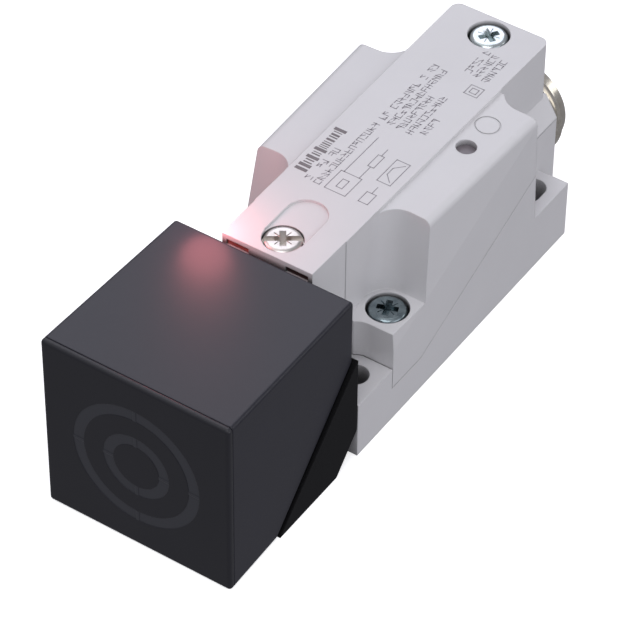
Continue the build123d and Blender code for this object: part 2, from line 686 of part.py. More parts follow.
def make_head_plug():
    """Small header on the board where the head's leads arrive."""
    y = BOARD_Y0 + 0.5
    body = block((-4.0, 4.0), (y - 2.5, y + 2.5), (BOARD_Z - 5.0, BOARD_Z))
    for x in HEAD_LEAD_X:
        body -= rod_z(x, y, 0.7, BOARD_Z - 6, BOARD_Z - 1)
    return body


def make_head_leads():
    """Three wires from the mouth of the neck up to the header."""
    shape = Part()
    for x in HEAD_LEAD_X:
        start_x = x * 0.5
        y_up = BOARD_Y0 + 0.5
        points = [
            (start_x, CAVITY_FRONT_Y + 0.8, AXIS_Z),
            (start_x, CAVITY_FRONT_Y + 4.5, AXIS_Z),
            (x, y_up, BOARD_Z - 8.5),
            (x, y_up, BOARD_Z - 3.0),
        ]
        shape += lead(points, 0.5, 1.2)
    return shape


# ---- swivel wedge ------------------------------------------------------------------------------------------
def make_swivel_wedge():
    """Black wedge that turns on the housing and carries the head on its 45 degree face."""
    points = [
        (SENSING_Y + 5, 0),
        (WEDGE_REAR_Y - WEDGE_CHAMFER_Y, 0),
        (WEDGE_REAR_Y, WEDGE_CHAMFER_Z),
        (WEDGE_REAR_Y, WEDGE_TOP_Z),
        (SENSING_Y + 5, WEDGE_TOP_Z),
    ]
    body = prism_x(points, HALF_WIDTH) & half_space(WEDGE_SPLIT, -1)
    neck = rod_y(0, AXIS_Z, NECK_R, HEAD_REAR_Y + 0.3, NECK_END_Y)
    neck -= o_ring_groove_y(AXIS_Z, NECK_RING_Y - 0.75, NECK_R - 1.1, NECK_R + 1, 1.5)
    neck -= o_ring_groove_y(AXIS_Z, LOCK_SCREW_Y - 1.8, NECK_R - GROOVE_DEPTH, NECK_R + 1, 3.6)
    body += neck
    body -= rod_diagonal(SPLIT, SPINDLE_R + RUNNING, -SPINDLE_DEPTH - 0.6, 5)
    body -= rod_y(0, AXIS_Z - 1.5, 2.0, SENSING_Y + 36.4, NECK_END_Y + 1)
    body -= block((-2.2, 2.2), (SENSING_Y + 36.2, SENSING_Y + 39.0), (8.0, 19.5))
    seat = diagonal_plane(WEDGE_SPLIT)
    ring = Cylinder(8.4, 1.2, align=(Align.CENTER, Align.CENTER, Align.MAX))
    ring -= Cylinder(6.9, 4, align=(Align.CENTER, Align.CENTER, Align.CENTER))
    return body - seat * ring


def make_neck_o_ring():
    """Seal on the turning neck."""
    plane = Plane(origin=(0, NECK_RING_Y, AXIS_Z), x_dir=(1, 0, 0), z_dir=(0, 1, 0))
    return torus_on(plane, NECK_R - 0.55, 0.54)


def make_split_seal():
    """Seal ring in the wedge's 45 degree face."""
    plane = diagonal_plane(WEDGE_SPLIT)
    return torus_on(plane * Plane(origin=(0, 0, -0.48)), 7.65, 0.7)


# ---- head --------------------------------------------------------------------------------------------------
def make_head_shell():
    """Black cube shell, open at the sensing face and cut off at 45 degrees below."""
    front = SENSING_Y + CAP_T + CAP_SEAM
    plane = Plane(origin=(0, front, AXIS_Z), x_dir=(1, 0, 0), z_dir=(0, 1, 0))
    cube = extrude(plane * Rectangle(HEAD_SIDE, HEAD_SIDE), amount=HEAD_REAR_Y - front, taper=HEAD_DRAFT_DEG)
    cube = fillet([e for e in cube.edges() if (e @ 0.5).Y > front + 0.1], EDGE_R)
    shell = cube & half_space(HEAD_SPLIT, 1)
    shell -= head_hollow(front - 1)
    return shell - rod_diagonal(SPLIT, SPINDLE_R, -5, 12)


def head_hollow(front):
    """The room inside the head shell, from a given front to its rear and diagonal walls."""
    inner = HALF_WIDTH - HEAD_WALL
    room = block((-inner, inner), (front, HEAD_REAR_Y - HEAD_WALL), (AXIS_Z - inner, AXIS_Z + inner))
    return room & half_space(INNER_SPLIT, 1)


def ring_mark(r_in, r_out):
    """Four shallow ring segments round the middle of the sensing face."""
    shape = o_ring_groove_y(AXIS_Z, SENSING_Y - 0.01, r_in, r_out, RING_DEPTH + 0.01)
    shape -= block((-0.35, 0.35), (SENSING_Y - 1, SENSING_Y + 1), (-5, 45))
    return shape - block((-25, 25), (SENSING_Y - 1, SENSING_Y + 1), (AXIS_Z - 0.35, AXIS_Z + 0.35))


def make_face_cap():
    """Sensing face: a square cap with a rim that plugs into the shell, and shallow target rings."""
    plane = Plane(origin=(0, SENSING_Y, AXIS_Z), x_dir=(1, 0, 0), z_dir=(0, 1, 0))
    plate = extrude(plane * RectangleRounded(HEAD_SIDE, HEAD_SIDE, EDGE_R), amount=CAP_T)
    front = [e for e in plate.edges() if (e @ 0).Y < SENSING_Y + 0.01 and (e @ 1).Y < SENSING_Y + 0.01]
    plate = fillet(front, EDGE_R)
    inner = HALF_WIDTH - HEAD_WALL
    rim_end = SENSING_Y + CAP_T + CAP_RIM
    rim = block((-inner, inner), (SENSING_Y + CAP_T, rim_end), (AXIS_Z - inner, AXIS_Z + inner))
    rim -= rod_y(0, AXIS_Z, CORE_R, SENSING_Y, rim_end + 1)
    cap = plate + rim
    cap -= ring_mark(11.3, 13.6)
    return cap - ring_mark(4.9, 7.1)


def make_ferrite_core():
    """Pot core open towards the sensing face, with a centre post."""
    cup = rod_y(0, AXIS_Z, CORE_R, CORE_FRONT_Y, CORE_FRONT_Y + CORE_T)
    cup -= rod_y(0, AXIS_Z, CORE_R - 2.6, CORE_FRONT_Y - 1, CORE_FRONT_Y + CORE_T - 2.4)
    cup += rod_y(0, AXIS_Z, POST_R, CORE_FRONT_Y, CORE_FRONT_Y + CORE_T)
    slot = block((-1.2, 1.2), (CORE_FRONT_Y + CORE_T - 3, CORE_FRONT_Y + CORE_T + 1), (AXIS_Z + 9, AXIS_Z + 18))
    return cup - slot


def make_coil_bobbin():
    """Moulded spool that the coil is wound on."""
    y0 = CORE_FRONT_Y + 0.2
    y1 = CORE_FRONT_Y + CORE_T - 2.6
    spool = rod_y(0, AXIS_Z, CORE_R - 2.8, y0, y1)
    spool -= o_ring_groove_y(AXIS_Z, y0 + 0.8, POST_R + 1.0, CORE_R, y1 - y0 - 1.6)
    return spool - rod_y(0, AXIS_Z, POST_R + 0.1, y0 - 1, y1 + 1)


def make_coil_winding():
    """The oscillator coil's copper winding."""
    y0 = CORE_FRONT_Y + 1.0
    y1 = CORE_FRONT_Y + CORE_T - 3.4
    return o_ring_groove_y(AXIS_Z, y0, POST_R + 1.0, CORE_R - 3.4, y1 - y0)


def make_head_board():
    """Oscillator board behind the core."""
    board = rod_y(0, AXIS_Z, 14.5, HEAD_BOARD_Y, HEAD_BOARD_Y + 1.0)
    return board & half_space(INNER_SPLIT - 0.4, 1)


def make_head_board_parts():
    """Components on the rear of the oscillator board."""
    y = HEAD_BOARD_Y + 1.0
    shape = block((-9, -4), (y, y + 1.7), (26, 31))
    shape += block((3, 7), (y, y + 1.2), (27, 30))
    shape += block((-1.5, 1.0), (y, y + 0.8), (22, 25))
    return shape + rod_y(6, 22.5, 1.8, y, y + 2.6)


def make_head_potting():
    """Cast resin that fills the head behind the oscillator board."""
    fill = head_hollow(HEAD_BOARD_Y + 4.0)
    fill = fill & block((-17.7, 17.7), (HEAD_BOARD_Y + 4.0, HEAD_REAR_Y - HEAD_WALL - 0.1), (2.3, 37.7))
    flange = rod_diagonal(SPLIT, 9.3, 0, 6.4)
    passage = rod_diagonal(SPLIT, SPINDLE_BORE_R, 0, 20)
    return fill - flange - passage


def make_head_spindle():
    """Hollow spindle fixed in the head, which slides and turns in the wedge's 45 degree bore."""
    inside = (SPLIT_GAP / 2) + HEAD_WALL
    tube = rod_diagonal(SPLIT, SPINDLE_R, -SPINDLE_DEPTH, inside + 0.5)
    tube += rod_diagonal(SPLIT, 9.0, inside, inside + 2.4)
    tube -= rod_diagonal(SPLIT, SPINDLE_BORE_R, -SPINDLE_DEPTH - 1, inside + 10)
    plane = diagonal_plane(SPLIT)
    groove = Cylinder(SPINDLE_R + 1, 1.5) - Cylinder(SPINDLE_R - 1.1, 3)
    return tube - plane * Pos(0, 0, -SPINDLE_DEPTH + 2.2) * groove


def make_spindle_o_ring():
    """Seal on the spindle inside the wedge's bore."""
    plane = diagonal_plane(SPLIT) * Plane(origin=(0, 0, -SPINDLE_DEPTH + 2.2))
    return torus_on(plane, SPINDLE_R - 0.55, 0.54)


def main():
    """Build every piece and write one STEP per node."""
    outline = soften(housing_outline())
    parts = {
        "base": make_base(outline),
        "cover": make_cover(outline),
        "cover_gasket": make_cover_gasket(),
        "side_screws": make_side_screws(),
        "side_inserts": make_side_inserts(),
        "rear_screw": make_rear_screw(),
        "rear_insert": make_rear_insert(),
        "light_guide_left": make_light_guide(-1),
        "light_guide_right": make_light_guide(1),
        "status_led_left": make_status_led(-1),
        "status_led_right": make_status_led(1),
        "indicator_window": make_indicator_window(),
        "indicator_led": make_indicator_led(),
        "main_board": make_main_board(),
        "suppression_choke": make_suppression_choke(),
        "capacitors": make_capacitors(),
        "output_transistor": make_output_transistor(),
        "transistor_tab": make_transistor_tab(),
        "control_chip": make_control_chip(),
        "chip_resistors": make_chip_resistors(),
        "head_plug": make_head_plug(),
        "head_leads": make_head_leads(),
        "connector_shell": make_connector_shell(),
        "connector_insert": make_connector_insert(),
        "connector_pins": make_connector_pins(),
        "connector_o_ring": make_connector_o_ring(),
        "connector_leads": make_connector_leads(),
        "lock_screw": make_lock_screw(),
        "swivel_wedge": make_swivel_wedge(),
        "neck_o_ring": make_neck_o_ring(),
        "split_seal": make_split_seal(),
        "head_shell": make_head_shell(),
        "face_cap": make_face_cap(),
        "head_spindle": make_head_spindle(),
        "spindle_o_ring": make_spindle_o_ring(),
        "ferrite_core": make_ferrite_core(),
        "coil_bobbin": make_coil_bobbin(),
        "coil_winding": make_coil_winding(),
        "head_board": make_head_board(),
        "head_board_parts": make_head_board_parts(),
        "head_potting": make_head_potting(),
    }
    os.makedirs("parts", exist_ok=True)
    for name, shape in parts.items():
        export_step(shape, f"parts/{name}.step")
        print(name, round(shape.volume, 1))


main()
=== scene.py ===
"""Looks of a block proximity sensor: a black cube head that turns on a grey limit-switch sized housing.

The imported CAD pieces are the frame, in metres. Each sub-assembly dresses its own pieces with the finish that the
real part has, softens the edges that a mould softens, and adds the printing that the CAD leaves out.
"""

import logging
import math
import random
from dataclasses import dataclass
from enum import Enum

import bmesh
import bpy
from mathutils import Matrix, Vector


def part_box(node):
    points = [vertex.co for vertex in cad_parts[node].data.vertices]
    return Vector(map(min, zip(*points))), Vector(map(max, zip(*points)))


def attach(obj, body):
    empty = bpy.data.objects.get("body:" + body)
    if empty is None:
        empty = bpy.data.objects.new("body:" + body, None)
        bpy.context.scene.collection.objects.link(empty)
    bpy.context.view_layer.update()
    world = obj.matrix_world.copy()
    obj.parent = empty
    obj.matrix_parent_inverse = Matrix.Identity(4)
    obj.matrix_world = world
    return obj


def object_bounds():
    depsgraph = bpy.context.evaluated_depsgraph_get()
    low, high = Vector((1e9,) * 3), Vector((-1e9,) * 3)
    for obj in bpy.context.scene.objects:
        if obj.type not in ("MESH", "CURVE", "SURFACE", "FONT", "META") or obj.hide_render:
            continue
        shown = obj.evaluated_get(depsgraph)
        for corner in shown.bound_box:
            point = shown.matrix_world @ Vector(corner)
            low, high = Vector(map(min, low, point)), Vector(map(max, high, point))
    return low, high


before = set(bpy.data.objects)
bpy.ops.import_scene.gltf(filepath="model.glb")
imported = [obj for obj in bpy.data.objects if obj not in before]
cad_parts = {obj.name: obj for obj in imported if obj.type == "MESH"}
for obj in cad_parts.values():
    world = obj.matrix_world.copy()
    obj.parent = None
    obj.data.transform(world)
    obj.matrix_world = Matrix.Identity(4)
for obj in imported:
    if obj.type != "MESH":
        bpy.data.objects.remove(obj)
CAD_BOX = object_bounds()
MM = 0.001

RECESS_SAMPLES = 8
RECESS_DARKEST = 0.12  # share of open surroundings at which a recess takes its full painted shade
RECESS_UNSHADED = 0.5  # share of open surroundings from which a surface gets no painted shade
EDGE_SAMPLES = 6
GLOW_OUTWARD_MM = 3.5
GLOW_FORWARD_MM = 2.0

log = logging.getLogger("proximity_sensor")


def linear(colour: str) -> tuple[float, float, float, float]:
    """Turn an sRGB hex colour into linear light.

    Args:
        colour: six hex digits, such as "d7d7de".

    Returns:
        Red, green, blue and an alpha of 1.
    """
    channels = []
    for start in (0, 2, 4):
        value = int(colour[start:start + 2], 16) / 255
        channels.append(value / 12.92 if value <= 0.04045 else ((value + 0.055) / 1.055) ** 2.4)
    return (channels[0], channels[1], channels[2], 1.0)


def add_node(tree: bpy.types.NodeTree, kind: str, settings: dict, links: dict) -> bpy.types.Node:
    """Add one shader node with its settings and the links that feed it.

    Args:
        tree: the material's node tree.
        kind: the node's type, without its ShaderNode prefix.
        settings: values by property name, input name or input number.
        links: output sockets by the name or number of the input that each one feeds.

    Returns:
        The new node.
    """
    node = tree.nodes.new("ShaderNode" + kind)
    for key, value in settings.items():
        if isinstance(key, str) and hasattr(node, key):
            setattr(node, key, value)
        else:
            node.inputs[key].default_value = value
    for key, socket in links.items():
        tree.links.new(socket, node.inputs[key])
    return node


def per_metre(size_mm: float) -> float:
    """Texture scale that repeats a pattern once in every size_mm."""
    return 1.0 / (size_mm * MM)


# ---- finishes ----------------------------------------------------------------------------------------------
@dataclass(frozen=True)
class Finish:
    """A material's common facts: its name, its colour and how glossy its surface is."""

    name: str
    colour: str
    roughness: float
    metallic: float = 0.0
    ior: float = 1.5
    specular: float = 0.5  # below 0.5 where a coarse grain swallows part of the reflection
    # the recess colour, reach and depth paint shade into holes, seams and deep corners
    recess_shade_colour: str = "101012"
    recess_shade_mm: float = 8.0  # how far round a point looks for walls that cover it
    recess_shade_depth: float = 0.0  # share of the painted shade colour in the deepest corner, 0 leaves it alone

    def material(self) -> bpy.types.Material:
        """Build the material, or return it if it is already there.

        Returns:
            The finished material.
        """
        made = bpy.data.materials.get(self.name)
        if made:
            return made
        made = bpy.data.materials.new(self.name)
        made.use_nodes = True
        tree = made.node_tree
        tree.nodes.clear()
        shader = add_node(tree, "BsdfPrincipled", {"Base Color": linear(self.colour)}, {})
        shader.inputs["Roughness"].default_value = self.roughness
        shader.inputs["Metallic"].default_value = self.metallic
        if self.metallic == 0.0:
            shader.inputs["IOR"].default_value = self.ior
            shader.inputs["Specular IOR Level"].default_value = self.specular
        place = add_node(tree, "TexCoord", {}, {}).outputs["Object"]
        self.dress(tree, shader, place)
        add_node(tree, "OutputMaterial", {}, {"Surface": shader.outputs["BSDF"]})
        made.diffuse_color = linear(self.colour)
        return made

    def dress(self, tree: bpy.types.NodeTree, shader: bpy.types.Node, place: bpy.types.NodeSocket) -> None:
        """Add the surface's own pattern; each kind of finish has its own."""
        raise NotImplementedError

    def mottle(self, tree: bpy.types.NodeTree, shader: bpy.types.Node, place: bpy.types.NodeSocket,
               other: str, size_mm: float, contrast: float) -> None:
        """Drift the colour slowly between the finish's own and a second one.

        Args:
            tree: the material's node tree.
            shader: the principled shader.
            place: texture coordinates in metres.
            other: the second colour.
            size_mm: size of the drifting patches.
            contrast: how sharply the patches part, from 0 to 1.
        """
        noise = add_node(tree, "TexNoise", {"Scale": per_metre(size_mm), "Detail": 3.0}, {"Vector": place})
        low, high = 0.5 - 0.5 * (1 - contrast), 0.5 + 0.5 * (1 - contrast)
        ramp = add_node(tree, "MapRange", {"From Min": low, "From Max": high}, {"Value": noise.outputs["Fac"]})
        mix = add_node(tree, "Mix", {"data_type": "RGBA", 6: linear(self.colour), 7: linear(other)},
                       {0: ramp.outputs["Result"]})
        tree.links.new(mix.outputs[2], shader.inputs["Base Color"])

    def vary_roughness(self, tree: bpy.types.NodeTree, shader: bpy.types.Node, source: bpy.types.NodeSocket,
                       spread: float) -> None:
        """Let a pattern move the roughness a little either way.

        Args:
            tree: the material's node tree.
            shader: the principled shader.
            source: pattern from 0 to 1.
            spread: how far the roughness moves from its own value.
        """
        settings = {"To Min": self.roughness - spread, "To Max": self.roughness + spread}
        moved = add_node(tree, "MapRange", settings, {"Value": source})
        tree.links.new(moved.outputs["Result"], shader.inputs["Roughness"])

    def paint_recess_shade(self, tree: bpy.types.NodeTree, shader: bpy.types.Node) -> None:
        """Paint shade into holes, seams and deep corners: the fewer open surroundings a point has, the darker it is
        painted.

        Args:
            tree: the material's node tree.
            shader: the principled shader.
        """
        if self.recess_shade_depth == 0:
            return
        open_sky = add_node(tree, "AmbientOcclusion", {"samples": RECESS_SAMPLES, "Distance": self.recess_shade_mm * MM}, {})
        settings = {"From Min": RECESS_DARKEST, "From Max": RECESS_UNSHADED, "To Min": self.recess_shade_depth, "To Max": 0.0}
        amount = add_node(tree, "MapRange", settings, {"Value": open_sky.outputs["AO"]})
        # the base colour is mixed towards a painted shade colour where walls hide the surroundings
        unshaded_colour = shader.inputs["Base Color"].links[0].from_socket
        mix = add_node(tree, "Mix", {"data_type": "RGBA", 7: linear(self.recess_shade_colour)},
                       {0: amount.outputs["Result"], 6: unshaded_colour})
        tree.links.new(mix.outputs[2], shader.inputs["Base Color"])


@dataclass(frozen=True)
class MouldedPlastic(Finish):
    """Injection moulded engineering plastic: the mould's spark-eroded grain gives a soft, even sheen.

    Its edges carry the mould's small rounding, and its recesses get a little painted shade.
    """

    second_colour: str = "808080"
    drift_mm: float = 11.0
    edge_mm: float = 0.3
    grain_mm: float = 0.45  # the real grain is near 0.1 mm, drawn coarser so that it shows
    grain_height_mm: float = 0.012

    def dress(self, tree: bpy.types.NodeTree, shader: bpy.types.Node, place: bpy.types.NodeSocket) -> None:
        """Add a slow colour drift, painted shade in the recesses, rounded edges and the grain of the mould."""
        self.mottle(tree, shader, place, self.second_colour, self.drift_mm, 0.2)
        # painted shade in holes, pockets and seams
        self.paint_recess_shade(tree, shader)
        grain = add_node(tree, "TexNoise", {"Scale": per_metre(self.grain_mm), "Detail": 4.0, "Roughness": 0.6},
                         {"Vector": place})
        self.vary_roughness(tree, shader, grain.outputs["Fac"], 0.05)
        edge = add_node(tree, "Bevel", {"samples": EDGE_SAMPLES, "Radius": self.edge_mm * MM}, {})
        bump = add_node(tree, "Bump", {"Strength": 0.5, "Distance": self.grain_height_mm * MM},
                        {"Height": grain.outputs["Fac"], "Normal": edge.outputs["Normal"]})
        tree.links.new(bump.outputs["Normal"], shader.inputs["Normal"])


@dataclass(frozen=True)
class RingedPlastic(MouldedPlastic):
    """The sensing face's plastic: polished target rings are glossier than the grained face round them, and their
    lighter colour is a painted sheen for the light they catch.
    """

    ring_sheen_colour: str = "35363c"
    ring_roughness: float = 0.3
    rings_mm: tuple[tuple[float, float], ...] = ((4.9, 7.1), (11.3, 13.6))
    centre_z_mm: float = 20.0

    def dress(self, tree: bpy.types.NodeTree, shader: bpy.types.Node, place: bpy.types.NodeSocket) -> None:
        """Add the grained face, then paint a lighter sheen on the rings and polish them."""
        super().dress(tree, shader, place)
        axes = add_node(tree, "SeparateXYZ", {}, {"Vector": place})
        flat = add_node(tree, "CombineXYZ", {}, {"X": axes.outputs["X"], "Z": axes.outputs["Z"]})
        reach = add_node(tree, "VectorMath", {"operation": "DISTANCE", 1: (0, 0, self.centre_z_mm * MM)},
                         {0: flat.outputs["Vector"]})
        mask = None
        for inner, outer in self.rings_mm:
            settings = {"operation": "COMPARE", 1: (inner + outer) / 2 * MM, 2: (outer - inner) / 2 * MM}
            ring = add_node(tree, "Math", settings, {0: reach.outputs["Value"]}).outputs["Value"]
            if mask is not None:
                ring = add_node(tree, "Math", {"operation": "MAXIMUM"}, {0: mask, 1: ring}).outputs["Value"]
            mask = ring
        # the rings' lighter colour is a painted sheen; their lower roughness is real gloss
        face_colour = shader.inputs["Base Color"].links[0].from_socket
        mix = add_node(tree, "Mix", {"data_type": "RGBA", 7: linear(self.ring_sheen_colour)}, {0: mask, 6: face_colour})
        tree.links.new(mix.outputs[2], shader.inputs["Base Color"])
        face_gloss = shader.inputs["Roughness"].links[0].from_socket
        gloss = add_node(tree, "Mix", {"data_type": "FLOAT", 3: self.ring_roughness}, {0: mask, 2: face_gloss})
        tree.links.new(gloss.outputs[0], shader.inputs["Roughness"])


@dataclass(frozen=True)
class PlatedMetal(Finish):
    """Plated steel or brass: bright, with fine turning lines and patches where the plating took unevenly."""

    second_colour: str = "b0b0b0"
    patch_mm: float = 1.6
    line_mm: float = 0.22  # turning lines, drawn coarser than the real 0.05 mm
    metallic: float = 1.0

    def dress(self, tree: bpy.types.NodeTree, shader: bpy.types.Node, place: bpy.types.NodeSocket) -> None:
        """Add patchy plating colour, painted shade in the recesses, uneven gloss and fine lines."""
        self.mottle(tree, shader, place, self.second_colour, self.patch_mm, 0.5)
        # painted shade in thread roots and other recesses
        self.paint_recess_shade(tree, shader)
        smear = add_node(tree, "TexNoise", {"Scale": per_metre(self.patch_mm * 0.7), "Detail": 5.0},
                         {"Vector": place})
        self.vary_roughness(tree, shader, smear.outputs["Fac"], 0.12)
        lines = add_node(tree, "TexNoise", {"Scale": per_metre(self.line_mm), "Detail": 2.0}, {"Vector": place})
        bump = add_node(tree, "Bump", {"Strength": 0.35, "Distance": 0.01 * MM},
                        {"Height": lines.outputs["Fac"]})
        tree.links.new(bump.outputs["Normal"], shader.inputs["Normal"])


@dataclass(frozen=True)
class SoftRubber(Finish):
    """Moulded nitrile rubber: dull black with a faint bloom."""

    def dress(self, tree: bpy.types.NodeTree, shader: bpy.types.Node, place: bpy.types.NodeSocket) -> None:
        """Add the greyish bloom and a fine skin."""
        self.mottle(tree, shader, place, "2b2b2d", 2.0, 0.3)
        skin = add_node(tree, "TexNoise", {"Scale": per_metre(0.3), "Detail": 3.0}, {"Vector": place})
        bump = add_node(tree, "Bump", {"Strength": 0.4, "Distance": 0.01 * MM}, {"Height": skin.outputs["Fac"]})
        tree.links.new(bump.outputs["Normal"], shader.inputs["Normal"])


@dataclass(frozen=True)
class LightPipe(Finish):
    """Clear moulded acrylic that carries an indicator's light; glossy, with streaks of a second tone from the
    moulding.
    """

    glow: float = 0.0
    ior: float = 1.49
    halo: str = "ff9a90"

    def dress(self, tree: bpy.types.NodeTree, shader: bpy.types.Node, place: bpy.types.NodeSocket) -> None:
        """Add streaks from the moulding and the light that leaves the surface."""
        streaks = add_node(tree, "TexNoise", {"Scale": per_metre(1.2), "Detail": 2.0}, {"Vector": place})
        self.vary_roughness(tree, shader, streaks.outputs["Fac"], 0.06)
        mix = add_node(tree, "Mix", {"data_type": "RGBA", 6: linear(self.colour), 7: linear(self.halo)},
                       {0: streaks.outputs["Fac"]})
        tree.links.new(mix.outputs[2], shader.inputs["Base Color"])
        if self.glow > 0:
            tree.links.new(mix.outputs[2], shader.inputs["Emission Color"])
            shader.inputs["Emission Strength"].default_value = self.glow


@dataclass(frozen=True)
class CircuitBoard(Finish):
    """Glass-epoxy board under green solder mask, with tracks that stand slightly proud."""

    track_mm: float = 1.1

    def dress(self, tree: bpy.types.NodeTree, shader: bpy.types.Node, place: bpy.types.NodeSocket) -> None:
        """Add the tracks as lighter bands with a soft step at their edges."""
        bands = add_node(tree, "TexBrick", {"Scale": per_metre(self.track_mm * 6), "Mortar Size": 0.03,
                                            "Color1": linear(self.colour), "Color2": linear("0d4423"),
                                            "Mortar": linear("2f7d4a")}, {"Vector": place})
        tree.links.new(bands.outputs["Color"], shader.inputs["Base Color"])
        bump = add_node(tree, "Bump", {"Strength": 0.5, "Distance": 0.03 * MM}, {"Height": bands.outputs["Fac"]})
        tree.links.new(bump.outputs["Normal"], shader.inputs["Normal"])


@dataclass(frozen=True)
class WoundCopper(Finish):
    """Enamelled copper wire wound in layers: fine ridges, one per turn, with a painted highlight on each ridge and
    painted shade between turns.
    """

    wire_mm: float = 0.3
    metallic: float = 1.0

    def dress(self, tree: bpy.types.NodeTree, shader: bpy.types.Node, place: bpy.types.NodeSocket) -> None:
        """Add one ridge for each turn of wire along the coil's axis, with painted shade between turns."""
        # a wave texture repeats about pi times within one unit of its scale
        turns = add_node(tree, "TexWave", {"bands_direction": "Y", "Scale": per_metre(self.wire_mm) / math.pi},
                         {"Vector": place})
        # the darker copper between turns is painted shade, the lighter copper a painted highlight
        mix = add_node(tree, "Mix", {"data_type": "RGBA", 6: linear("6b3416"), 7: linear(self.colour)},
                       {0: turns.outputs["Fac"]})
        tree.links.new(mix.outputs[2], shader.inputs["Base Color"])
        bump = add_node(tree, "Bump", {"Strength": 0.8, "Distance": 0.1 * MM}, {"Height": turns.outputs["Fac"]})
        tree.links.new(bump.outputs["Normal"], shader.inputs["Normal"])


class Shade(Enum):
    """Every finish on the sensor, named for its material and how its surface was made."""

    # grey housing: painted shade darkens its holes, pockets and seams
    GREY_PBT = MouldedPlastic("grey_pbt_moulded", "d5d4d5", 0.42, second_colour="dad9da", recess_shade_depth=0.9)
    BLACK_PBT = MouldedPlastic("black_pbt_moulded", "171721", 0.40, second_colour="1a1a25", drift_mm=6.0)
    FACE_PBT = RingedPlastic("black_pbt_face", "1a1a20", 0.44, second_colour="1d1d24", grain_mm=0.35)
    BLACK_PA = MouldedPlastic("black_polyamide_moulded", "08080a", 0.62, second_colour="0c0c0e", specular=0.18)
    PRINT = MouldedPlastic("grey_pad_printing", "8f8b91", 0.55, second_colour="9b969c", drift_mm=2.0)
    DARK_PRINT = MouldedPlastic("dark_pad_printing", "746d70", 0.5, second_colour="807a7c", drift_mm=2.0)
    BLACK_CARRIER = MouldedPlastic("black_insert_moulded", "141416", 0.45, second_colour="1a1a1c")
    BOBBIN = MouldedPlastic("natural_nylon_moulded", "d8d2c0", 0.5, second_colour="ccc5b0")
    EPOXY = MouldedPlastic("chip_moulding_compound", "1c1c1f", 0.6, second_colour="242427", grain_mm=0.3)
    FERRITE = MouldedPlastic("sintered_ferrite", "35353a", 0.55, second_colour="404046", grain_mm=0.3)
    RESIN = MouldedPlastic("cast_potting_resin", "9b8f78", 0.3, second_colour="8c8069", drift_mm=5.0)
    SLEEVE = MouldedPlastic("capacitor_sleeve", "20284a", 0.3, second_colour="242c50")
    LEAD = MouldedPlastic("pvc_lead_insulation", "8a4a30", 0.42, second_colour="804028")
    WINDOW = LightPipe("translucent_window", "6f696d", 0.3, halo="827b80")
    DARK_GUIDE = LightPipe("unlit_light_guide", "3a2c2c", 0.15, halo="4a3836")
    LIT_GUIDE = LightPipe("lit_light_guide", "7c3530", 0.15, glow=0.12, halo="9c5c58")
    LIT_LED = LightPipe("lit_indicator", "ff2a20", 0.2, glow=4.0)
    LED_BODY = LightPipe("indicator_body", "d9d5cc", 0.25, halo="c9c5ba")
    RUBBER = SoftRubber("nitrile_rubber", "1a1a1b", 0.65)
    BLUE_ZINC = PlatedMetal("blue_passivated_zinc", "6f7c82", 0.24, second_colour="9aa7aa")
    BRIGHT_ZINC = PlatedMetal("bright_zinc", "dfe3e4", 0.22, second_colour="b9c6c6")
    NICKEL_STEEL = PlatedMetal("nickelled_steel", "dedad6", 0.34, second_colour="c4beb8")
    # connector thread: painted shade darkens the roots between the crests
    NICKEL_BRASS = PlatedMetal("nickelled_brass", "e6e2d8", 0.2, second_colour="d4cdbe",
                                recess_shade_colour="3a352c", recess_shade_mm=1.4, recess_shade_depth=0.85)
    BRASS = PlatedMetal("turned_brass", "c9a45c", 0.25, second_colour="b8924a")
    GOLD = PlatedMetal("gold_plated_contact", "e0bd6a", 0.2, second_colour="d2ab55")
    TINNED = PlatedMetal("tinned_copper", "bcbec0", 0.35, second_colour="a9abad")
    BOARD = CircuitBoard("green_circuit_board", "145a2e", 0.35)
    COPPER = WoundCopper("enamelled_copper_wire", "c8713a", 0.3)


@dataclass
class SoftEdges:
    """The small rounding that a mould or a tumbler leaves on an edge."""

    radius_mm: float
    least_angle_deg: float = 32.0
    segments: int = 3

    def apply(self, piece: bpy.types.Object) -> None:
        """Round a piece's edges with modifiers, leaving its mesh data alone.

        Args:
            piece: the CAD node's object.
        """
        weld = piece.modifiers.new("join_faces", "WELD")
        weld.merge_threshold = 0.002 * MM
        flats = piece.modifiers.new("merge_flats", "DECIMATE")
        flats.decimate_type = "DISSOLVE"
        flats.angle_limit = math.radians(0.2)
        edge = piece.modifiers.new("soft_edges", "BEVEL")
        edge.width = self.radius_mm * MM
        edge.segments = self.segments
        edge.limit_method = "ANGLE"
        edge.angle_limit = math.radians(self.least_angle_deg)
        edge.use_clamp_overlap = False
        edge.miter_outer = "MITER_ARC"
        shading = piece.modifiers.new("face_normals", "WEIGHTED_NORMAL")
        shading.keep_sharp = False
        shading.weight = 60


def dress(node: str, shade: Shade, edges: SoftEdges | None = None) -> str:
    """Give a CAD node its finish and, where it has moulded edges, its rounding.

    Args:
        node: the CAD node's name.
        shade: its finish.
        edges: its edge rounding, if any.

    Returns:
        The node's name.
    """
    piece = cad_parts[node]
    if not piece.data.materials:
        piece.data.materials.append(None)
    for index in range(len(piece.material_slots)):
        piece.material_slots[index].material = shade.value.material()
    if edges:
        edges.apply(piece)
    return node


# ---- sub-assemblies ----------------------------------------------------------------------------------------
@dataclass
class Housing:
    """Base, cover, their screws and inserts, and the seal between them."""

    def build(self) -> list[str]:
        """Dress the housing's pieces and return their names."""
        return [
            dress("base", Shade.GREY_PBT),
            dress("cover", Shade.GREY_PBT),
            dress("cover_gasket", Shade.RUBBER),
            dress("side_screws", Shade.BLUE_ZINC),
            dress("side_inserts", Shade.BRASS),
            dress("rear_screw", Shade.BRIGHT_ZINC),
            dress("rear_insert", Shade.BRASS),
            dress("lock_screw", Shade.NICKEL_STEEL),
        ]


